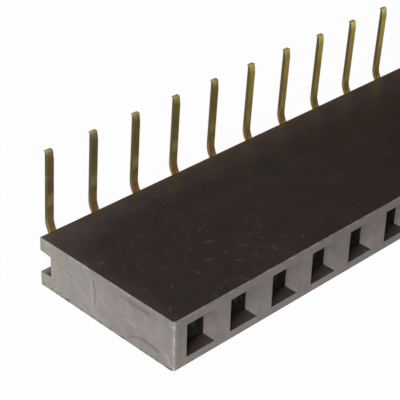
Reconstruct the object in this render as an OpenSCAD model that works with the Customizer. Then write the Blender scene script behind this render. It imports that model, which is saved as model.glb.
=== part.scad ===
// Right-angle female header strip: one moulded housing with a row of square
// sockets, and one formed spring contact behind each of them. The strip lies
// on its broad underside: +X along the row, +Y from the sockets to the solder
// tails, +Z up. The origin is the centre of the housing's underside.

/* [Strip] */
// Number of contacts in the row
positions = 20; // [2:1:40]
// Distance from one contact to the next
pitch = 2.54; // [2.3:0.01:3.2]
// Distance from an end of the housing to the nearest contact
end_margin = 1.53; // [1.3:0.01:3]

/* [Housing] */
// Depth of the housing, from socket face to rear face
body_d = 8.5; // [7.5:0.1:12]
// Thickness of the housing
body_t = 2.5; // [2.4:0.05:3.5]
// Radius of the upright corners beside the socket face
front_corner_r = 0.2; // [0.05:0.01:0.35]
// Radius of the upright corners beside the rear face
rear_corner_r = 0.05; // [0.02:0.01:0.3]
// Chamfer along the long outer edges of the rear face
rear_chamfer = 0.06; // [0.02:0.01:0.25]
// Chamfer along the long outer edges of the socket face
front_chamfer = 0.04; // [0.01:0.01:0.15]

/* [Sockets] */
// Width and height of each square window
window = 1.64; // [1.3:0.02:1.7]
// Thickness of the wall that the windows pass through
front_wall = 0.7; // [0.4:0.05:1.2]
// Step from a window out to the wider cavity behind it
cavity_step = 0.13; // [0.02:0.01:0.18]
// Height of the channel that runs along the rear face, at its floor
channel_h = 1.02; // [1:0.02:1.4]
// Depth of the channel along the rear face
channel_d = 0.72; // [0.4:0.02:1]
// Draft on each side of the channel, which opens it towards its mouth
channel_draft = 5; // [0:0.5:8]

/* [Contact] */
// Thickness of the metal strip
strip_t = 0.18; // [0.12:0.01:0.25]
// Clearance between a contact and its pocket, on every side
fit_clearance = 0.02; // [0.005:0.005:0.04]
// Width across the outside of the folded base
base_w = 1.5; // [1.3:0.02:1.6]
// Length of the folded base
base_l = 0.95; // [0.6:0.05:1.4]
// Inside radius of the folds at the base
fold_r = 0.12; // [0.05:0.01:0.2]
// Inside radius of the two small bends behind the folded base
step_r = 0.12; // [0.05:0.01:0.15]
// Slope of the metal between those two bends
step_angle = 50; // [40:1:60]
// Depth of the barbs that bite into the pocket's sides
barb_depth = 0.12; // [0.04:0.01:0.2]
// Number of barbs on each side
barbs = 2; // [1:1:3]
// Length of the flat plate that carries the barbs
plate_l = 0.7; // [0.5:0.05:1]

/* [Spring leaves] */
// Width of the square pin that the leaves grip
mating_pin = 0.64; // [0.5:0.01:0.7]
// Distance that a pin pushes each leaf outwards
preload = 0.1; // [0.03:0.01:0.15]
// Height of a leaf where it grips the pin
leaf_h = 0.62; // [0.4:0.02:0.8]
// Inside radius of the rounded grip
grip_r = 0.4; // [0.2:0.05:0.8]
// Length of the flared lead-in at a leaf's end
flare_l = 0.42; // [0.2:0.02:0.6]
// Angle of the flared lead-in
flare_angle = 26; // [10:1:32]
// Gap between the leaf ends and the front wall
tip_gap = 0.85; // [0.2:0.05:1.2]

/* [Solder tail] */
// Width of the tail
tail_w = 0.38; // [0.25:0.01:0.7]
// Distance from the rear face to the foot of the tail
tail_reach = 1.2; // [1:0.05:4]
// Height of the tail's end above the top face
tail_rise = 3.26; // [2:0.02:10]
// Inside radius of the tail's bend
bend_r = 0.85; // [0.3:0.05:1.1]
// Angle by which the tail leans back towards the housing
tail_lean = 2.5; // [0:0.5:4]
// Height of the edge that shearing has rounded over
shear_h = 0.45; // [0.1:0.05:0.8]
// Depth of the edge that shearing has rounded over
shear_d = 0.07; // [0.02:0.01:0.1]
// Lip that shearing draws out past the outer edge
burr = 0.08; // [0.01:0.01:0.12]

/* [Hidden] */
function contact_name(i) = str("contact_", i < 10 ? "0" : "", i);
$fn = 48;
bend_step = 8;

body_l = (positions - 1) * pitch + 2 * end_margin;
front_y = -body_d / 2;
rear_y = body_d / 2;
mid_z = body_t / 2;

// The channel along the rear face, and the contact's base on its floor line.
channel_z0 = mid_z - channel_h / 2;
channel_z1 = mid_z + channel_h / 2;
mouth_rise = channel_d * tan(channel_draft);
base_z0 = channel_z0 + fit_clearance;
base_z1 = channel_z1 - fit_clearance;

// Behind the base the metal steps up to mid height and widens to the plate.
step_rc = step_r + strip_t / 2;
step_rise = mid_z - strip_t / 2 - base_z0;
step_slope = (step_rise - 2 * step_rc * (1 - cos(step_angle))) / sin(step_angle);
step_run = 2 * step_rc * sin(step_angle) + step_slope * cos(step_angle);

// The cavity behind a window, and the low pocket behind it, which is as long
// as the base, the step and the plate that it holds.
inset = 0.1;
lap = 0.1;
cavity_w = window + 2 * cavity_step;
plate_w = cavity_w - 2 * fit_clearance;
pocket_y1 = rear_y - channel_d;
plate_y1 = pocket_y1 - inset;
plate_y0 = plate_y1 - plate_l;
base_y1 = plate_y0 - step_run;
base_y0 = base_y1 - base_l;
pocket_y0 = base_y0 - inset;

// A leaf starts at the wall of the base, leans in to the grip, flares out.
wall_x = base_w / 2 - strip_t / 2;
floor_half = wall_x - fold_r - strip_t / 2;
grip_x = mating_pin / 2 - preload + strip_t / 2;
root_r = 0.9;
grip_rc = grip_r + strip_t / 2;
root_rc = root_r + strip_t / 2;
tip_y = front_y + front_wall + tip_gap;
grip_y = tip_y + (flare_l + strip_t / 2) * cos(flare_angle) + grip_rc * sin(flare_angle);
leaf_in = wall_x - grip_x;
leaf_run = base_y0 - grip_y;
leaf_arcs = root_rc + grip_rc;
leaf_l = sqrt(pow(leaf_arcs - leaf_in, 2) + pow(leaf_run, 2) - pow(leaf_arcs, 2));
leaf_angle = atan2(leaf_run, leaf_arcs - leaf_in) - atan2(leaf_l, leaf_arcs);
fold_relief = 0.05;
leaf_z0 = base_z0 + strip_t + fold_r + fold_relief;

// The tail leaves the plate at mid height, then turns upwards.
bend_rc = bend_r + strip_t / 2;
leg_l = rear_y + tail_reach - bend_rc - plate_y1;
tail_l = (body_t + tail_rise - mid_z - bend_rc - bend_rc * sin(tail_lean)) / cos(tail_lean);

// ---------------------------------------------------------------- formed metal

// A strip is formed as a press tool would: each step of its path is [straight
// length, inside radius, angle], and a negative angle bends to the right. It
// gives the stations [x, y, heading] that the middle of the metal passes.
function walk(path, p, a, k = 0) =
    k == len(path) ? [] :
    let (
        turn = path[k][2],
        side = sign(turn),
        rc = side * (path[k][1] + strip_t / 2),
        q = p + path[k][0] * [cos(a), sin(a)],
        c = q + rc * [-sin(a), cos(a)],
        n = ceil(abs(turn) / bend_step),
        arc = [for (j = [1:1:n]) let (b = a + turn * j / n) [c.x + rc * sin(b), c.y - rc * cos(b), b]],
        straight = path[k][0] > 0 ? [[q.x, q.y, a]] : [],
        done = n > 0 ? [arc[n - 1].x, arc[n - 1].y] : q
    )
    concat(straight, arc, walk(path, done, a + turn, k + 1));

// Both edges of the metal along its stations, as one closed outline. The end
// is square unless it is given as points [along, across] from the last station.
function edge(stations, across) =
    [for (s = stations) [s.x - across * sin(s.z), s.y + across * cos(s.z)]];
function reversed(list) = [for (k = [len(list) - 1:-1:0]) list[k]];
function strip_outline(path, p, a, end = []) =
    let (
        stations = concat([[p.x, p.y, a]], walk(path, p, a)),
        last = stations[len(stations) - 1],
        dir = [cos(last.z), sin(last.z)],
        cap = [for (e = end) [last.x, last.y] + e[0] * dir + e[1] * [-dir.y, dir.x]]
    )
    concat(edge(stations, strip_t / 2), cap, reversed(edge(stations, -strip_t / 2)));

// --------------------------------------------------------------------- housing

// End view of the housing: a flat block whose rear face has an open channel.
module end_profile() {
    polygon([
        [front_y + front_chamfer, 0],
        [rear_y - rear_chamfer, 0],
        [rear_y, rear_chamfer],
        [rear_y, channel_z0 - mouth_rise],
        [pocket_y1, channel_z0],
        [pocket_y1, channel_z1],
        [rear_y, channel_z1 + mouth_rise],
        [rear_y, body_t - rear_chamfer],
        [rear_y - rear_chamfer, body_t],
        [front_y + front_chamfer, body_t],
        [front_y, body_t - front_chamfer],
        [front_y, front_chamfer],
    ]);
}

// What is taken off a square corner at the origin to leave it with radius r.
module corner_round(r) {
    cut = 1;
    difference() {
        translate([-cut, -cut, -cut])
            cube([r + cut, r + cut, body_t + 2 * cut]);
        translate([r, r, -2 * cut])
            cylinder(r = r, h = body_t + 4 * cut);
        translate([r, -2 * cut, -2 * cut])
            cube([2 * cut, 4 * cut, body_t + 4 * cut]);
    }
}

// Everything that is cored out for one contact: the square window, the wider
// cavity where the leaves can open, and the low pocket that holds the base.
module socket_core() {
    cut = 1;
    translate([-window / 2, front_y - cut, mid_z - window / 2])
        cube([window, front_wall + 2 * cut, window]);
    translate([-cavity_w / 2, front_y + front_wall, mid_z - cavity_w / 2])
        cube([cavity_w, pocket_y0 - front_y - front_wall, cavity_w]);
    translate([-cavity_w / 2, pocket_y0 - cut, channel_z0])
        cube([cavity_w, pocket_y1 - pocket_y0 + 2 * cut, channel_h]);
}

module housing() {
    color([0.16, 0.15, 0.14])
        difference() {
            translate([-body_l / 2, 0, 0])
                rotate([90, 0, 90])
                    linear_extrude(body_l)
                        end_profile();
            for (end = [0, 1])
                mirror([end, 0, 0]) {
                    translate([-body_l / 2, front_y, 0])
                        corner_round(front_corner_r);
                    translate([-body_l / 2, rear_y, 0])
                        mirror([0, 1, 0])
                            corner_round(rear_corner_r);
                }
            for (i = [1:positions])
                translate([contact_x(i), 0, 0])
                    socket_core();
        }
}

// --------------------------------------------------------------------- contact

function contact_x(i) = (i - (positions + 1) / 2) * pitch;

// The folded base: a floor and two upright walls, bent up from one strip.
module folded_base() {
    wall_h = base_z1 - base_z0 - strip_t - fold_r;
    translate([0, base_y1, 0])
        rotate([90, 0, 0])
            linear_extrude(base_l)
                polygon(strip_outline([[wall_h, fold_r, 90], [2 * floor_half, fold_r, 90],
                                       [wall_h, 0, 0]], [-wall_x, base_z1], -90));
}

// One of the two spring leaves, drawn from above. It keeps its full height at
// the base and is trimmed to leaf_h round the pin's height at the grip.
module spring_leaf() {
    intersection() {
        linear_extrude(body_t)
            polygon(strip_outline([[lap, root_r, -leaf_angle],
                                   [leaf_l, grip_r, leaf_angle + flare_angle],
                                   [flare_l, 0, 0]], [wall_x, base_y0 + lap], -90));
        rotate([90, 0, 90])
            linear_extrude(base_w)
                polygon([
                    [base_y0 + 2 * lap, leaf_z0],
                    [base_y0 + 2 * lap, base_z1],
                    [base_y0, base_z1],
                    [grip_y, mid_z + leaf_h / 2],
                    [front_y, mid_z + leaf_h / 2],
                    [front_y, mid_z - leaf_h / 2],
                    [grip_y, mid_z - leaf_h / 2],
                    [base_y0, leaf_z0],
                ]);
    }
}

// Plan view of the metal behind the base. The plate's barbs slope on the side
// that enters the pocket first, and are square on the side that would have to
// come back out. Behind the plate only the tail's width is left.
module blank_outline() {
    tip = plate_w / 2;
    root = tip - barb_depth;
    ramp = 0.75;
    plain_end = 0.6;
    tooth = plate_l / (barbs + plain_end);
    teeth = [for (k = [0:barbs - 1], p = [[root, 0], [tip, ramp], [tip, 1]])
        [p[0], plate_y0 + (k + p[1]) * tooth]];
    right = concat([[floor_half, base_y1 - lap], [floor_half, plate_y0]], teeth,
                   [[root, plate_y0 + barbs * tooth], [root, plate_y1], [tail_w / 2, plate_y1],
                    [tail_w / 2, rear_y + tail_reach + bend_rc]]);
    left = [for (p = reversed(right)) [-p.x, p.y]];
    polygon(concat(right, left));
}

// Side view of the same metal: a rising step, the plate and the tail's leg at
// mid height, the bend, and the tail. The tail's end is sheared: rounded over
// where the tool entered, with a lip drawn out on the other edge.
module spine() {
    top = body_t + tail_rise;
    intersection() {
        translate([-plate_w, 0, 0])
            rotate([90, 0, 90])
                linear_extrude(2 * plate_w)
                    polygon(strip_outline([[lap, step_r, step_angle],
                                           [step_slope, step_r, -step_angle],
                                           [plate_l + leg_l, bend_r, 90 + tail_lean],
                                           [tail_l - shear_h, 0, 0]],
                                          [base_y1 - lap, base_z0 + strip_t / 2], 0,
                                          [[shear_h, strip_t / 2 - shear_d],
                                           [shear_h, -strip_t / 2 - burr],
                                           [shear_h - burr, -strip_t / 2]]));
        linear_extrude(top + strip_t)
            blank_outline();
    }
}

module contact(i) {
    color([0.62, 0.50, 0.28])
        translate([contact_x(i), 0, 0]) {
            folded_base();
            spring_leaf();
            mirror([1, 0, 0])
                spring_leaf();
            spine();
        }
}

// ------------------------------------------------------------------------ parts

housing();
for (i = [1:positions])
    contact(i);
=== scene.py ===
import math

import bpy
from mathutils import Matrix, Vector


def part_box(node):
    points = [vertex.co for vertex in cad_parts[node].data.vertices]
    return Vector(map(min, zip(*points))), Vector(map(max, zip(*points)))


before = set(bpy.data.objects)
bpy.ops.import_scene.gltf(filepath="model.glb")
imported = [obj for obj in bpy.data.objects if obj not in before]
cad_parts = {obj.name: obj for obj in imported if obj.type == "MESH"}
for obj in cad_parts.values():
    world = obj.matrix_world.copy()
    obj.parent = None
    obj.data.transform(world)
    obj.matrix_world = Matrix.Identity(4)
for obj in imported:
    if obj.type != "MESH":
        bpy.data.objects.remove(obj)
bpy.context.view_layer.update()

MM = 0.001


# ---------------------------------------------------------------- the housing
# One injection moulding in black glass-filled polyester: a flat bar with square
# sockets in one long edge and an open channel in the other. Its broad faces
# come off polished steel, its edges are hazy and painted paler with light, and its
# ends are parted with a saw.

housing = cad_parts["housing"]
housing_lo, housing_hi = (Vector(corner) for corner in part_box("housing"))
half_length = housing_hi.x
mid_height = housing_hi.z / 2

SOCKET_PITCH = 2.54 * MM
FRONT_WALL = 0.70 * MM
WINDOW_LINE_FROM_MIDDLE = 0.94 * MM
MOULD_EDGE_RADIUS = 0.03 * MM
SHARP_EDGE_DEGREES = 30
SEAM_GAP = 0.0005 * MM
SKIN_DEPTH = 0.05 * MM
MOULDED_GRAIN_DEPTH = 0.01 * MM
PLASTIC_SPECULAR = 0.3

# Distances, each where a finish, a painted light or a painted shade begins and
# where it is full. From the near end:
PAINTED_FALLOFF_REACH = (4 * MM, 22 * MM)
HANDLING_EASES = (5 * MM, 12 * MM)
# From the nearer end:
SAWN_FACE = (0.10 * MM, 0.04 * MM)
HOLES_START = (0.3 * MM, 0.4 * MM)
DULL_END = (0.9 * MM, 0.0)
PAINTED_MOUTH_LIGHT_ENDS = (0.9 * MM, 0.2 * MM)
EDGE_KNOCKS_START = (0.05 * MM, 0.15 * MM)
# From the front face:
WINDOW_LINE_DEPTH = (0.02 * MM, 0.0)
PAINTED_WINDOW_SHADE_DEPTH = (0.40 * MM, 0.03 * MM)
PAINTED_HOLE_BOUNCE_DEPTHS = (FRONT_WALL + 0.45 * MM, FRONT_WALL + 0.85 * MM)
PAINTED_END_LIGHT = (2.35 * MM, 5.75 * MM)
PAINTED_UPPER_END_LIGHT = (5.75 * MM, 7.85 * MM)
SAWN_REAR_TINGE = (6.65 * MM, 8.25 * MM)
# From the rear face, and from the rear corners:
CHANNEL_START = (0.10 * MM, 0.26 * MM)
PAINTED_MOUTH_LIGHT_DEPTH = (0.52 * MM, 0.06 * MM)
OLIVE_EDGE = (0.55 * MM, 0.05 * MM)
DULL_REAR = (2.2 * MM, 0.2 * MM)
RED_CORNER = (3.4 * MM, 0.6 * MM)
GREEN_CORNER = (0.95 * MM, 0.15 * MM)
# Heights, and the last one a distance from mid height:
LOWER_CRUMBS = (0.17 * MM, 0.08 * MM)
UPPER_CRUMBS = (2.34 * MM, 2.42 * MM)
# Where the painted light from below fades up the edges:
PAINTED_LIGHT_FROM_BELOW = (0.2 * MM, 2.3 * MM)
PAINTED_END_TOP_SHADE = (1.2 * MM, 2.3 * MM)
KNOCKED_EDGES = (0.6 * MM, 1.15 * MM)

# Sizes of the patches in which each effect comes and goes.
CLOUD_SIZE = 2.2 * MM
TINGE_SIZE = 1.1 * MM
MOTTLE_SIZE = 0.45 * MM
CRUMB_SIZE = 0.20 * MM
HANDLED_SIZE = 3.5 * MM
HAIR_BREAK_SIZE = 0.13 * MM
HAIR_SWAY = 0.5 * MM
EDGE_NIBBLE_SIZE = 0.30 * MM

POLISHED_BLACK = (0.0455, 0.0285, 0.0250, 1)
CLOUDED_RED = (0.0490, 0.0305, 0.0295, 1)
CLOUDED_GREEN = (0.0375, 0.0310, 0.0260, 1)
DULLED_BLACK = (0.0740, 0.0495, 0.0430, 1)
EDGE_OLIVE = (0.100, 0.069, 0.033, 1)
CORNER_RED = (0.095, 0.065, 0.056, 1)
CORNER_GREEN = (0.130, 0.122, 0.074, 1)
# Part of this grey is painted light, paler than the hazy finish alone.
HAZY_BLACK_WITH_PAINTED_LIGHT = (0.148, 0.131, 0.120, 1)
WINDOW_FLOOR = (0.054, 0.041, 0.039, 1)
# Painted shade and painted bounce light inside the holes:
PAINTED_HOLE_SHADE = (0.008, 0.007, 0.007, 1)
PAINTED_HOLE_BOUNCE = (0.090, 0.076, 0.073, 1)
SAWN_BLACK = (0.190, 0.171, 0.159, 1)
SAWN_REAR = (0.198, 0.189, 0.162, 1)
PINKISH = (1.03, 0.985, 0.98, 1)
GREENISH = (0.965, 1.00, 0.975, 1)
# Darkens and browns the polish along the strip: a painted fall-off of the light.
PAINTED_FALLOFF_BROWN = (0.90, 0.76, 0.68, 1)
# Painted light on the lip at the channel's mouth.
PAINTED_MOUTH_LIGHT = (0.33, 0.32, 0.27, 1)
SCUFFED_PALE_AND_HIGHLIGHT = (0.46, 0.44, 0.41, 1)
RUBBED_DARK = (0.085, 0.080, 0.072, 1)

# How strongly each kind of mark shows, from 0 to 1.
DARK_MARKS_SHOW = 0.65
PALE_MARKS_SHOW = 0.24
LOWER_CRUMBS_SHOW = 0.8
UPPER_CRUMBS_SHOW = 0.28
HAIRLINES_SHOW = 0.17
PECKS_SHOW = 0.17


def soften_edges(piece, radius):
    """Welds the imported faces, rounds the sharp edges and evens the shading."""
    weld = piece.modifiers.new("Weld seams", "WELD")
    weld.merge_threshold = SEAM_GAP
    rounding = piece.modifiers.new("Round edges", "BEVEL")
    rounding.width = radius
    rounding.segments = 2
    rounding.limit_method = "ANGLE"
    rounding.angle_limit = math.radians(SHARP_EDGE_DEGREES)
    evening = piece.modifiers.new("Even shading", "WEIGHTED_NORMAL")
    evening.keep_sharp = False


def dress(piece, material, radius):
    """Gives a piece its one material and softens its edges."""
    piece.data.materials.clear()
    piece.data.materials.append(material)
    soften_edges(piece, radius)


def new_material(name):
    """A material, its node tree and its surface shader."""
    material = bpy.data.materials.new(name)
    material.use_nodes = True
    return material, material.node_tree, material.node_tree.nodes["Principled BSDF"]


def feed(tree, socket, value):
    """Links value to the socket if it is an output, or sets it as its value."""
    if isinstance(value, bpy.types.NodeSocket):
        tree.links.new(value, socket)
    elif value is not None:
        socket.default_value = value


def calc(tree, operation, *values, clamp=False):
    node = tree.nodes.new("ShaderNodeMath")
    node.operation = operation
    node.use_clamp = clamp
    for socket, value in zip(node.inputs, values):
        feed(tree, socket, value)
    return node.outputs[0]


def product(tree, first, *others):
    """Two or more values multiplied together."""
    for other in others:
        first = calc(tree, "MULTIPLY", first, other)
    return first


def highest(tree, first, *others):
    """The greatest of two or more values."""
    for other in others:
        first = calc(tree, "MAXIMUM", first, other)
    return first


def outside(tree, mask):
    """1 where the mask is 0, and 0 where it is 1."""
    return calc(tree, "SUBTRACT", 1.0, mask)


def away_from(tree, value, middle):
    """How far the value is from the middle, on either side."""
    return calc(tree, "ABSOLUTE", calc(tree, "SUBTRACT", value, middle))


def vector_calc(tree, operation, *values, out="Vector"):
    node = tree.nodes.new("ShaderNodeVectorMath")
    node.operation = operation
    for socket, value in zip(node.inputs, values):
        feed(tree, socket, value)
    return node.outputs[out]


def scaled(tree, vector, factor):
    """The vector with all three of its numbers multiplied by the factor."""
    result = vector_calc(tree, "SCALE", vector)
    feed(tree, result.node.inputs["Scale"], factor)
    return result


def ramp(tree, value, low, high, to_low=0.0, to_high=1.0):
    """Eases from to_low, where value is low, to to_high, where it is high."""
    node = tree.nodes.new("ShaderNodeMapRange")
    node.interpolation_type = "SMOOTHSTEP"
    for label, number in (("Value", value), ("From Min", low), ("From Max", high),
                          ("To Min", to_low), ("To Max", to_high)):
        feed(tree, node.inputs[label], number)
    return node.outputs["Result"]


def blend(tree, amount, under, over, mode="MIX"):
    """One colour laid over another by the amount."""
    node = tree.nodes.new("ShaderNodeMix")
    node.data_type = "RGBA"
    node.blend_type = mode
    for number, value in ((0, amount), (6, under), (7, over)):
        feed(tree, node.inputs[number], value)
    return node.outputs[2]


def split(tree, vector):
    node = tree.nodes.new("ShaderNodeSeparateXYZ")
    feed(tree, node.inputs[0], vector)
    return node.outputs


def join(tree, x, y, z):
    node = tree.nodes.new("ShaderNodeCombineXYZ")
    for socket, value in zip(node.inputs, (x, y, z)):
        feed(tree, socket, value)
    return node.outputs[0]


def shaded(tree, color, factor):
    """The colour made lighter or darker by the factor."""
    return blend(tree, 1.0, color, join(tree, factor, factor, factor), "MULTIPLY")


def noise(tree, vector, scale, detail, out="Fac"):
    node = tree.nodes.new("ShaderNodeTexNoise")
    node.inputs["Detail"].default_value = detail
    feed(tree, node.inputs["Vector"], vector)
    feed(tree, node.inputs["Scale"], scale)
    return node.outputs[out]


def cells(tree, vector, scale):
    """The distance to the nearest of many scattered points, and its own numbers."""
    node = tree.nodes.new("ShaderNodeTexVoronoi")
    feed(tree, node.inputs["Vector"], vector)
    feed(tree, node.inputs["Scale"], scale)
    return node.outputs


def place(tree):
    return tree.nodes.new("ShaderNodeTexCoord").outputs["Object"]


def facing(tree):
    return tree.nodes.new("ShaderNodeNewGeometry").outputs["Normal"]


def blotches(tree, size, detail):
    """Uneven patches over the whole piece, about the given size."""
    return noise(tree, place(tree), 1 / size, detail)


def relief(tree, shader, height, strength, depth):
    """Raises and sinks the surface a little, by the height."""
    node = tree.nodes.new("ShaderNodeBump")
    node.inputs["Strength"].default_value = strength
    node.inputs["Distance"].default_value = depth
    feed(tree, node.inputs["Height"], height)
    feed(tree, shader.inputs["Normal"], node.outputs["Normal"])


def make_group(name, inputs, outputs):
    """A node group whose inputs are (name, starting value) and outputs are names."""
    group = bpy.data.node_groups.new(name, "ShaderNodeTree")
    for label, start in inputs:
        kind = "NodeSocketFloat" if isinstance(start, float) else "NodeSocketVector"
        socket = group.interface.new_socket(label, in_out="INPUT", socket_type=kind)
        socket.default_value = start
    for label in outputs:
        group.interface.new_socket(label, in_out="OUTPUT", socket_type="NodeSocketFloat")
    given = group.nodes.new("NodeGroupInput").outputs
    made = group.nodes.new("NodeGroupOutput").inputs
    return group, given, made


def use_group(tree, group, **values):
    node = tree.nodes.new("ShaderNodeGroup")
    node.node_tree = group
    for label, value in values.items():
        feed(tree, node.inputs[label.replace("_", " ")], value)
    return node.outputs


# What plastic and metal share: slow cloudiness and a fine grain.
unevenness, given, made = make_group(
    "Unevenness", [("Cloud mm", 1.0), ("Grain mm", 0.06)], ["Cloud", "Grain"])
for size, result, detail in (("Cloud mm", "Cloud", 2.5), ("Grain mm", "Grain", 2.0)):
    per_metre = calc(unevenness, "DIVIDE", 1 / MM, given[size])
    feed(unevenness, made[result], noise(unevenness, place(unevenness), per_metre, detail))

# Dust: a few small round specks where the dice of the cell says so.
dust, given, made = make_group(
    "Dust", [("Spacing mm", 0.3), ("Share", 0.1), ("Size", 0.2)], ["Specks"])
speck = cells(dust, place(dust), calc(dust, "DIVIDE", 1 / MM, given["Spacing mm"]))
dice = split(dust, speck["Color"])
chosen = calc(dust, "LESS_THAN", dice[0], given["Share"])
own_size = product(dust, given["Size"], ramp(dust, dice[1], 0.0, 1.0, 0.4, 1.0))
round_speck = ramp(dust, speck["Distance"], own_size, 0.02)
feed(dust, made["Specks"], product(dust, chosen, round_speck))

# Rubbed edges: high where a face is turned away from all three axes at once,
# which only the rounded edges are. They carry wear and a painted highlight.
rubbed_and_highlit, given, made = make_group("Rubbed edges and painted highlight", [("Soft", 0.05), ("Full", 0.25)], ["Edge"])
turned = split(rubbed_and_highlit, vector_calc(rubbed_and_highlit, "ABSOLUTE", facing(rubbed_and_highlit)))
most = highest(rubbed_and_highlit, turned[0], turned[1], turned[2])
edge = ramp(rubbed_and_highlit, outside(rubbed_and_highlit, most), given["Soft"], given["Full"])
feed(rubbed_and_highlit, made["Edge"], edge)

# A scratch from one point to another, in millimetres, with a ragged line.
RAGGED_PER_MM = 4.0
RAGGED_BY_MM = 0.18
scratch, given, made = make_group(
    "Scratch", [("Start", (0, 0, 0)), ("End", (0, 0, 0)), ("Width mm", 0.04)], ["Line"])
here = scaled(scratch, place(scratch), 1 / MM)
ragged = noise(scratch, here, RAGGED_PER_MM, 3.0, out="Color")
ragged = vector_calc(scratch, "SUBTRACT", ragged, (0.5, 0.5, 0.5))
wander = vector_calc(scratch, "ADD", here, scaled(scratch, ragged, RAGGED_BY_MM))
along = vector_calc(scratch, "SUBTRACT", given["End"], given["Start"])
reach = vector_calc(scratch, "SUBTRACT", wander, given["Start"])
share = calc(scratch, "DIVIDE", vector_calc(scratch, "DOT_PRODUCT", reach, along, out="Value"),
             vector_calc(scratch, "DOT_PRODUCT", along, along, out="Value"), clamp=True)
nearest = scaled(scratch, along, share)
off_line = vector_calc(scratch, "DISTANCE", reach, nearest, out="Value")
full_inside = product(scratch, given["Width mm"], 0.2)
feed(scratch, made["Line"], ramp(scratch, off_line, given["Width mm"], full_inside))

# Hairlines: a short straight line at its own angle in some of the cells.
hairlines, given, made = make_group(
    "Hairlines", [("Place", (0, 0, 0)), ("Spacing mm", 1.0), ("Share", 0.2), ("Width", 0.02)],
    ["Lines"])
per_metre = calc(hairlines, "DIVIDE", 1 / MM, given["Spacing mm"])
cell = cells(hairlines, given["Place"], per_metre)
cell_size = calc(hairlines, "DIVIDE", 1.0, per_metre)
middle_off = vector_calc(hairlines, "SUBTRACT", given["Place"], cell["Position"])
middle_off = split(hairlines, vector_calc(
    hairlines, "DIVIDE", middle_off, join(hairlines, cell_size, cell_size, cell_size)))
dice = split(hairlines, cell["Color"])
angle = product(hairlines, dice[1], math.pi)
cosine = calc(hairlines, "COSINE", angle)
sine = calc(hairlines, "SINE", angle)
lengthwise = calc(hairlines, "ADD", product(hairlines, middle_off[0], cosine),
                  product(hairlines, middle_off[1], sine))
crosswise = calc(hairlines, "SUBTRACT", product(hairlines, middle_off[1], cosine),
                 product(hairlines, middle_off[0], sine))
thin = ramp(hairlines, calc(hairlines, "ABSOLUTE", crosswise), given["Width"], 0.0)
short = ramp(hairlines, calc(hairlines, "ABSOLUTE", lengthwise), 0.30, 0.12)
chosen = calc(hairlines, "LESS_THAN", dice[0], given["Share"])
feed(hairlines, made["Lines"], product(hairlines, thin, short, chosen))

plastic, tree, shader = new_material("black_moulded_plastic")
shader.inputs["Specular IOR Level"].default_value = PLASTIC_SPECULAR
where = split(tree, place(tree))
normal = split(tree, vector_calc(tree, "ABSOLUTE", facing(tree)))
uneven = use_group(tree, unevenness, Cloud_mm=1.7, Grain_mm=0.045)
worn_and_highlit = use_group(tree, rubbed_and_highlit, Soft=0.10, Full=0.26)["Edge"]

# Where a point lies on the bar, and which way its face looks.
from_near_end = calc(tree, "ADD", where[0], half_length)
from_end = calc(tree, "SUBTRACT", half_length, calc(tree, "ABSOLUTE", where[0]))
from_front = calc(tree, "SUBTRACT", where[1], housing_lo.y)
from_rear = calc(tree, "SUBTRACT", housing_hi.y, where[1])
from_middle = away_from(tree, where[2], mid_height)
level = ramp(tree, normal[2], 0.55, 0.95)
endwise = ramp(tree, normal[0], 0.6, 0.95)

# Five finishes: polished broad faces, hazy edges, the floors of the windows, sawn
# ends, and cored holes. The hazy edges also carry painted light, and the holes
# carry painted shade and light.
under_skin = ramp(tree, from_middle, mid_height - SKIN_DEPTH, mid_height - 2 * SKIN_DEPTH)
broad = product(tree, level, outside(tree, under_skin))
inner_floor = product(tree, level, under_skin)
sawn = product(tree, endwise, ramp(tree, from_end, *SAWN_FACE))
behind_wall = ramp(tree, from_front, 0.97 * FRONT_WALL, 1.03 * FRONT_WALL)
before_rear = ramp(tree, from_rear, *CHANNEL_START)
inside_ends = ramp(tree, from_end, *HOLES_START)
cored = product(tree, under_skin, inside_ends, behind_wall, before_rear)

# The polish is clouded, darker and browner along the strip as a painted fall-off
# of the light, and dulled and tinged towards the rear edge and the sawn corners.
patches = blotches(tree, CLOUD_SIZE, 4.0)
polished = blend(tree, ramp(tree, patches, 0.50, 0.66), POLISHED_BLACK, CLOUDED_RED)
polished = blend(tree, ramp(tree, patches, 0.48, 0.36), polished, CLOUDED_GREEN)
painted_falloff = ramp(tree, from_near_end, *PAINTED_FALLOFF_REACH)
polished = blend(tree, painted_falloff, polished, PAINTED_FALLOFF_BROWN, "MULTIPLY")
dulled = highest(tree, ramp(tree, from_rear, *DULL_REAR),
                 ramp(tree, from_end, *DULL_END, 0.0, 0.65))
polished = blend(tree, dulled, polished, DULLED_BLACK)
olive = ramp(tree, from_rear, *OLIVE_EDGE)
polished = blend(tree, olive, polished, EDGE_OLIVE)
wide_corner = calc(tree, "MULTIPLY_ADD", from_end, 0.4, from_rear)
red_corner = ramp(tree, wide_corner, *RED_CORNER, 0.0, 0.8)
polished = blend(tree, red_corner, polished, CORNER_RED)
tight_corner = calc(tree, "ADD", from_rear, from_end)
green_corner = ramp(tree, tight_corner, *GREEN_CORNER, 0.0, 0.8)
polished = blend(tree, green_corner, polished, CORNER_GREEN)

# The edges get painted light from below, paler low down, and the lip at the
# channel's mouth gets painted light where the lamps catch it.
hazy_with_painted_light = shaded(tree, HAZY_BLACK_WITH_PAINTED_LIGHT, ramp(tree, where[2], *PAINTED_LIGHT_FROM_BELOW, 1.14, 0.90))
color = blend(tree, broad, hazy_with_painted_light, polished)
color = blend(tree, inner_floor, color, WINDOW_FLOOR)
painted_mouth_light_mask = product(tree, under_skin, ramp(tree, from_rear, *PAINTED_MOUTH_LIGHT_DEPTH),
                        ramp(tree, from_end, *PAINTED_MOUTH_LIGHT_ENDS, 0.2, 1.0))
color = blend(tree, painted_mouth_light_mask, color, PAINTED_MOUTH_LIGHT)

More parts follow.
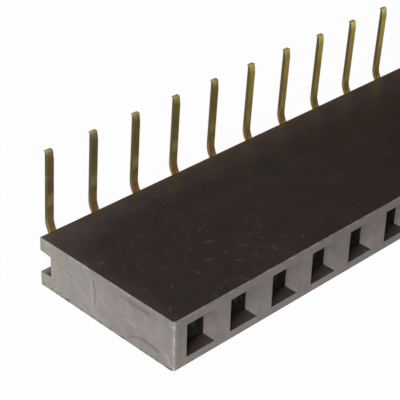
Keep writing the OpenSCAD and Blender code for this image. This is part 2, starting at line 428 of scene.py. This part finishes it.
# Each end carries painted light and shade: darker at the front and paler to the
# rear, and darker towards its top except at the rear.
painted_upper_end_shade = ramp(tree, from_front, *PAINTED_UPPER_END_LIGHT, 0.90, 1.02)
painted_end_light_and_shade = product(tree, ramp(tree, from_front, *PAINTED_END_LIGHT, 0.90, 1.06),
                    ramp(tree, where[2], *PAINTED_END_TOP_SHADE, 1.0, painted_upper_end_shade))
sawn_rear = ramp(tree, from_front, *SAWN_REAR_TINGE)
sawn_color = shaded(tree, blend(tree, sawn_rear, SAWN_BLACK, SAWN_REAR), painted_end_light_and_shade)
color = blend(tree, sawn, color, sawn_color)

# All but the polish is faintly pink in some patches and green in others.
tinges = blotches(tree, TINGE_SIZE, 2.0)
tinged = blend(tree, ramp(tree, tinges, 0.38, 0.62), GREENISH, PINKISH)
color = blend(tree, outside(tree, broad), color, tinged, "MULTIPLY")

# The holes get painted shade, black just behind the wall, and painted bounce
# light further in and on level faces.
deeper = ramp(tree, from_front, *PAINTED_HOLE_BOUNCE_DEPTHS)
painted_hole_shade_and_light = blend(tree, highest(tree, deeper, level), PAINTED_HOLE_SHADE, PAINTED_HOLE_BOUNCE)
color = blend(tree, cored, color, painted_hole_shade_and_light)

# The steel that moulds each window leaves a faint upright line beside it.
along_pitch = calc(tree, "FRACT", calc(tree, "DIVIDE", where[0], SOCKET_PITCH))
line_off = away_from(tree, along_pitch, 0.5 + WINDOW_LINE_FROM_MIDDLE / SOCKET_PITCH)
witness = product(tree, ramp(tree, line_off, 0.016, 0.006),
                  ramp(tree, from_front, *WINDOW_LINE_DEPTH))

# Clouds, grain and mottle vary the tone, and the windows' side walls get a painted
# shade.
mottle = blotches(tree, MOTTLE_SIZE, 2.0)
painted_window_shade = product(tree, endwise, ramp(tree, from_front, *PAINTED_WINDOW_SHADE_DEPTH),
                 outside(tree, sawn))
shade = product(tree, ramp(tree, uneven["Cloud"], 0.3, 0.7, 0.94, 1.06),
                ramp(tree, uneven["Grain"], 0.3, 0.7, 0.93, 1.07),
                ramp(tree, mottle, 0.36, 0.64, 0.94, 1.06),
                ramp(tree, witness, 0.0, 1.0, 1.0, 0.88),
                ramp(tree, painted_window_shade, 0.0, 1.0, 1.0, 0.91))
color = shaded(tree, color, shade)


def end_marks(marks):
    """Marks on the near end, each as its start, end and width in millimetres.

    Points are counted from the end's lower front corner: to the rear, then up.
    """
    corner = housing_lo / MM
    lines = 0.0
    for (start_y, start_z), (end_y, end_z), width in marks:
        line = use_group(tree, scratch, Start=corner + Vector((0, start_y, start_z)),
                         End=corner + Vector((0, end_y, end_z)), Width_mm=width)["Line"]
        lines = highest(tree, lines, line)
    return lines


dark_marks = end_marks([
    ((7.35, 1.68), (7.02, 1.59), 0.03),
    ((7.02, 1.59), (6.65, 1.52), 0.04),
    ((6.65, 1.52), (6.20, 1.46), 0.06),
    ((4.96, 1.97), (4.82, 1.47), 0.07),
    ((4.82, 1.47), (4.88, 0.60), 0.05),
    ((2.6, 0.40), (1.9, 0.66), 0.06),
    ((1.9, 0.66), (0.9, 0.56), 0.12),
    ((3.2, 2.16), (2.6, 2.10), 0.08),
    ((2.6, 2.10), (1.5, 2.13), 0.20)])
pale_marks = end_marks([
    ((6.28, 1.28), (5.83, 1.12), 0.05),
    ((5.83, 1.12), (5.59, 0.86), 0.05),
    ((5.10, 1.92), (5.02, 0.80), 0.08),
    ((3.6, 2.43), (2.2, 2.40), 0.04),
    ((1.50, 0.86), (1.44, 0.72), 0.06),
    ((0.52, 0.66), (0.22, 0.38), 0.07),
    ((0.36, 0.34), (0.14, 0.20), 0.06),
    ((2.9, 1.15), (2.4, 1.00), 0.05),
    ((0.30, 2.30), (0.06, 2.18), 0.05)])
color = blend(tree, product(tree, dark_marks, DARK_MARKS_SHOW), color, RUBBED_DARK)
color = blend(tree, product(tree, pale_marks, PALE_MARKS_SHOW), color, SCUFFED_PALE_AND_HIGHLIGHT)

# The saw crumbled the end's lower edge, and left pale crumbs on its upper edge.
crumbs = product(tree, sawn, ramp(tree, blotches(tree, CRUMB_SIZE, 1.0), 0.54, 0.62))
lower_crumbs = product(tree, crumbs, ramp(tree, where[2], *LOWER_CRUMBS))
upper_crumbs = product(tree, crumbs, ramp(tree, where[2], *UPPER_CRUMBS),
                       ramp(tree, uneven["Cloud"], 0.46, 0.58, 0.2, 1.0))
color = blend(tree, product(tree, lower_crumbs, LOWER_CRUMBS_SHOW), color, POLISHED_BLACK)

# Dust lies everywhere. Handling has scratched the broad faces with broken
# hairlines and pecked them, most towards the near end.
specks = use_group(tree, dust, Spacing_mm=0.45, Share=0.20, Size=0.20)["Specks"]
specks = product(tree, specks, ramp(tree, broad, 0.0, 1.0, 0.36, 0.14))
handled = product(tree, ramp(tree, blotches(tree, HANDLED_SIZE, 1.0), 0.42, 0.60, 0.35, 1.0),
                  ramp(tree, from_near_end, *HANDLING_EASES, 1.0, 0.12), broad)
broken = ramp(tree, blotches(tree, HAIR_BREAK_SIZE, 1.0), 0.42, 0.58, 0.20, 1.0)
sway = product(tree, calc(tree, "SUBTRACT", mottle, 0.5), HAIR_SWAY)
hair_place = join(tree, calc(tree, "ADD", where[0], sway), where[1], 0.0)
hair = use_group(tree, hairlines, Place=hair_place, Spacing_mm=0.9, Share=0.45, Width=0.090)
hair = product(tree, handled, broken, hair["Lines"], HAIRLINES_SHOW)
pecks = use_group(tree, dust, Spacing_mm=0.32, Share=0.13, Size=0.42)["Specks"]
pecks = product(tree, handled, PECKS_SHOW, pecks)

# Wear on the edges: ragged, strongest on upright ones and far from mid height.
# On the upright edges it is also a painted highlight.
edge_grain = ramp(tree, blotches(tree, EDGE_NIBBLE_SIZE, 3.0), 0.38, 0.64, 0.34, 1.0)
upright = ramp(tree, normal[2], 0.5, 0.2)
lying = ramp(tree, from_end, *EDGE_KNOCKS_START, 0.14, 0.50)
wear_and_painted_highlight = product(tree, worn_and_highlit, edge_grain, ramp(tree, upright, 0.0, 1.0, lying, 1.0),
               ramp(tree, from_middle, *KNOCKED_EDGES, 0.46, 0.72))
pale = highest(tree, specks, hair, pecks, product(tree, upper_crumbs, UPPER_CRUMBS_SHOW), wear_and_painted_highlight)
color = blend(tree, pale, color, SCUFFED_PALE_AND_HIGHLIGHT)
feed(tree, shader.inputs["Base Color"], color)

roughness = ramp(tree, broad, 0.0, 1.0, 0.66, 0.40)
roughness = calc(tree, "ADD", roughness, ramp(tree, uneven["Cloud"], 0.3, 0.7, -0.03, 0.03))
roughness = calc(tree, "ADD", roughness, product(tree, pale, 0.5))
feed(tree, shader.inputs["Roughness"], roughness)
grain_and_marks = calc(tree, "SUBTRACT", product(tree, uneven["Grain"], 0.35), dark_marks)
relief(tree, shader, grain_and_marks, strength=0.5, depth=MOULDED_GRAIN_DEPTH)
dress(housing, plastic, MOULD_EDGE_RADIUS)


# ---------------------------------------------------------------- the contacts
# Each contact is one strip of phosphor bronze, stamped and folded in a press,
# with a thin gold flash over nickel. It is pushed in from the rear, and then its
# tail is bent up and sheared to length, which leaves a bright, burred end.

GOLD_FLASH = (0.35, 0.285, 0.085, 1)
GOLD_DULL = (0.27, 0.210, 0.075, 1)
TARNISHED_BROWN = (0.27, 0.176, 0.098, 1)
BARE_BRONZE = (0.082, 0.065, 0.023, 1)
WORKED_BRONZE = (0.58, 0.36, 0.115, 1)
# A painted reflection, orange, at the foot of each tail.
PAINTED_FOOT_REFLECTION = (0.78, 0.45, 0.17, 1)
YELLOWED = (1.06, 1.04, 0.72, 1)
PALED_GOLD = (0.58, 0.50, 0.22, 1)
PALED_BROWN = (0.58, 0.43, 0.26, 1)
SHEARED_BRIGHT = (0.56, 0.41, 0.19, 1)

STRIP_EDGE_RADIUS = 0.012 * MM
ROLLED_GRAIN_DEPTH = 0.004 * MM
NICK_HEIGHT = 4.42 * MM
TAIL_CLEARS = 0.1 * MM

# Heights on a tail, each where a change of tone or the painted reflection begins
# and where it is full.
TARNISH = (2.7 * MM, 3.2 * MM)
BAND_FROM_BELOW = (2.75 * MM, 3.05 * MM)
BAND_FROM_ABOVE = (3.65 * MM, 3.25 * MM)
BAND_STRAYS = 0.8 * MM
WORKED_METAL = (2.7 * MM, 2.1 * MM)
PAINTED_REFLECTION_HEIGHTS = (2.25 * MM, 1.85 * MM)
# Then a distance from the nick's middle, from the near end, and from the tip:
NICK_REACH = (0.09 * MM, 0.02 * MM)
FIRST_TAIL_ONLY = (2.2 * MM, 2.0 * MM)
SHEARED_TIP = (0.10 * MM, 0.05 * MM)

# How strongly each change of tone and the painted reflection show, from 0 to 1.
PALE_BAND_SHOWS = 0.62
WORKED_SHOWS = 0.85
PAINTED_REFLECTION_SHOWS = 0.7
NICK_SHOWS = 0.5

contacts = [node for name, node in sorted(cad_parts.items()) if name.startswith("contact_")]
tail_end = Vector(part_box(contacts[0].name)[1])

gold, tree, shader = new_material("gold_flashed_bronze")
where = split(tree, place(tree))
normal = split(tree, vector_calc(tree, "ABSOLUTE", facing(tree)))
uneven = use_group(tree, unevenness, Cloud_mm=1.1, Grain_mm=0.07)
from_near_end = calc(tree, "ADD", where[0], half_length)
in_tail = ramp(tree, where[1], housing_hi.y, housing_hi.y + TAIL_CLEARS)
color = blend(tree, ramp(tree, uneven["Cloud"], 0.38, 0.62), GOLD_DULL, GOLD_FLASH)

# The flash took unevenly: each contact has its own tone, and a paler band low
# on its tail. Those further along the strip are made paler by painted glare, and
# came out yellower, and the first ones are tarnished brown above the bend.
own_tone = noise(tree, join(tree, where[0], 0.0, 0.0), 0.6 / SOCKET_PITCH, 1.0)
# The second ramp is painted glare: the far contacts grow paler along the strip.
tone = product(tree, ramp(tree, own_tone, 0.35, 0.65, 0.86, 1.12),
               ramp(tree, from_near_end, 3 * SOCKET_PITCH, 9 * SOCKET_PITCH, 0.94, 2.3))
color = shaded(tree, color, tone)
yellowed = ramp(tree, from_near_end, 2 * SOCKET_PITCH, 4 * SOCKET_PITCH)
color = blend(tree, yellowed, color, YELLOWED, "MULTIPLY")
browned = product(tree, ramp(tree, from_near_end, 2 * SOCKET_PITCH, 0.0, 0.0, 0.8),
                  ramp(tree, where[2], *TARNISH))
color = blend(tree, browned, color, TARNISHED_BROWN)
band_shift = product(tree, calc(tree, "SUBTRACT", own_tone, 0.5), BAND_STRAYS)
band_height = calc(tree, "ADD", where[2], band_shift)
band = product(tree, ramp(tree, band_height, *BAND_FROM_BELOW),
               ramp(tree, band_height, *BAND_FROM_ABOVE), PALE_BAND_SHOWS)
color = blend(tree, band, color, blend(tree, browned, PALED_GOLD, PALED_BROWN))

# Bending stretched the metal, which shows brighter there, and a painted orange
# reflection reddens the foot.
worked = product(tree, in_tail, ramp(tree, where[2], *WORKED_METAL))
color = blend(tree, product(tree, worked, WORKED_SHOWS), color, WORKED_BRONZE)
painted_foot_reflection = product(tree, in_tail, ramp(tree, where[2], *PAINTED_REFLECTION_HEIGHTS), PAINTED_REFLECTION_SHOWS)
color = blend(tree, painted_foot_reflection, color, PAINTED_FOOT_REFLECTION)

# The strip's slit edges are bare bronze, the first tail has a pale nick, and
# every tail ends in a bright sheared face.
slit_edge = product(tree, in_tail, ramp(tree, normal[0], 0.35, 0.80),
                    ramp(tree, worked, 0.0, 1.0, 1.0, 0.80))
color = blend(tree, slit_edge, color, BARE_BRONZE)
from_nick = away_from(tree, where[2], NICK_HEIGHT)
nick = product(tree, ramp(tree, from_nick, *NICK_REACH),
               ramp(tree, uneven["Grain"], 0.42, 0.58),
               ramp(tree, from_near_end, *FIRST_TAIL_ONLY), NICK_SHOWS)
color = blend(tree, nick, color, PALED_BROWN)
from_tip = calc(tree, "SUBTRACT", tail_end.z, where[2])
sheared = product(tree, ramp(tree, from_tip, *SHEARED_TIP),
                  ramp(tree, normal[2], 0.3, 0.8, 0.25, 1.0))
color = blend(tree, sheared, color, SHEARED_BRIGHT)
feed(tree, shader.inputs["Base Color"], color)

roughness = ramp(tree, uneven["Grain"], 0.3, 0.7, 0.32, 0.46)
roughness = calc(tree, "ADD", roughness, product(tree, sheared, 0.25))
feed(tree, shader.inputs["Roughness"], roughness)
feed(tree, shader.inputs["Metallic"], ramp(tree, sheared, 0.0, 1.0, 0.80, 0.25))
relief(tree, shader, uneven["Grain"], strength=0.3, depth=ROLLED_GRAIN_DEPTH)
for contact in contacts:
    dress(contact, gold, STRIP_EDGE_RADIUS)


# ------------------------------------------------------- the table and backdrop
# A sheet of white card under the strip, which shows as plain white and still
# takes the strip's soft shadow. Above it the room falls away to dark grey.

CARD_WIDTH = 4.0
CARD_BELOW = 0.002 * MM
CARD_WHITE = (0.95, 0.95, 0.95, 1)
ROOM_GREY = (0.10, 0.10, 0.10, 1)
PLAIN_WHITE = (1, 1, 1, 1)
SHADOW_KEPT = 0.03
HORIZON = (0.02, 0.12)

bpy.ops.mesh.primitive_plane_add(size=CARD_WIDTH, location=(0, 0, housing_lo.z - CARD_BELOW))
card = bpy.context.object
card.name = "white_card"
card_paper, tree, shader = new_material("white_card_paper")
shader.inputs["Base Color"].default_value = CARD_WHITE
shader.inputs["Roughness"].default_value = 0.9


def seen_directly(tree):
    """1 for rays that come from the camera, or by way of metal or glass."""
    path = tree.nodes.new("ShaderNodeLightPath").outputs
    return highest(tree, path["Is Camera Ray"], path["Is Glossy Ray"], path["Is Transmission Ray"])


white_light = tree.nodes.new("ShaderNodeEmission")
white_light.inputs["Strength"].default_value = 1.0
mix = tree.nodes.new("ShaderNodeMixShader")
feed(tree, mix.inputs[0], product(tree, seen_directly(tree), 1 - SHADOW_KEPT))
tree.links.new(shader.outputs[0], mix.inputs[1])
tree.links.new(white_light.outputs[0], mix.inputs[2])
tree.links.new(mix.outputs[0], tree.nodes["Material Output"].inputs["Surface"])
card.data.materials.append(card_paper)

world = bpy.data.worlds.new("room")
world.use_nodes = True
tree = world.node_tree
sky = tree.nodes["Background"]
height = split(tree, tree.nodes.new("ShaderNodeTexCoord").outputs["Generated"])[2]
low_down = product(tree, ramp(tree, height, *HORIZON, 1.0, 0.0), seen_directly(tree))
feed(tree, sky.inputs["Color"], blend(tree, low_down, ROOM_GREY, PLAIN_WHITE))
bpy.context.scene.world = world


# -------------------------------------------------------------------- the lamps
# Soft boxes stand low round the strip, so that its upright faces catch the
# light and its broad top stays dark. The nearest ones are to the left.


def soft_box(name, aim, direction, distance, size, brightness):
    """A round lamp that lights a surface facing it, at aim, to about the brightness."""
    lamp = bpy.data.lights.new(name, "AREA")
    lamp.shape = "DISK"
    lamp.size = size
    lamp.energy = brightness * (math.pi * distance) ** 2
    box = bpy.data.objects.new(name, lamp)
    bpy.context.collection.objects.link(box)
    towards = Vector(direction).normalized()
    box.location = aim + towards * distance
    box.rotation_euler = towards.to_track_quat("Z", "Y").to_euler()


middle = (housing_lo + housing_hi) / 2
near_end = Vector((housing_lo.x, middle.y, middle.z))
soft_box("left_soft_box", near_end, direction=(-0.80, -0.60, 0.25), distance=0.09,
         size=0.045, brightness=1.30)
soft_box("right_soft_box", middle, direction=(0.80, -0.55, 0.35), distance=0.30,
         size=0.18, brightness=0.22)
soft_box("rear_soft_box", near_end, direction=(-0.50, 0.70, 0.50), distance=0.09,
         size=0.05, brightness=0.40)


# ------------------------------------------------------------------- the camera
# A long lens close to the near corner, looking along the strip and down on it.

CAMERA_FROM_CORNER = Vector((-31.655, -32.327, 36.171)) * MM
CAMERA_AZIMUTH = -45.475
CAMERA_ELEVATION = 31.646
CAMERA_ROLL = 1.829
LENS_MILLIMETRES = 127.1
SENSOR_MILLIMETRES = 36

camera_data = bpy.data.cameras.new("camera")
camera_data.lens = LENS_MILLIMETRES
camera_data.sensor_width = SENSOR_MILLIMETRES
camera_data.clip_start = 1 * MM
camera_data.clip_end = 10
camera = bpy.data.objects.new("camera", camera_data)
bpy.context.collection.objects.link(camera)
turn = Matrix.Rotation(math.radians(CAMERA_AZIMUTH), 4, "Z")
tilt = Matrix.Rotation(math.radians(90 - CAMERA_ELEVATION), 4, "X")
roll = Matrix.Rotation(math.radians(CAMERA_ROLL), 4, "Z")
camera.matrix_world = Matrix.Translation(housing_lo + CAMERA_FROM_CORNER) @ turn @ tilt @ roll
bpy.context.scene.camera = camera
bpy.context.scene.view_settings.view_transform = "Standard"
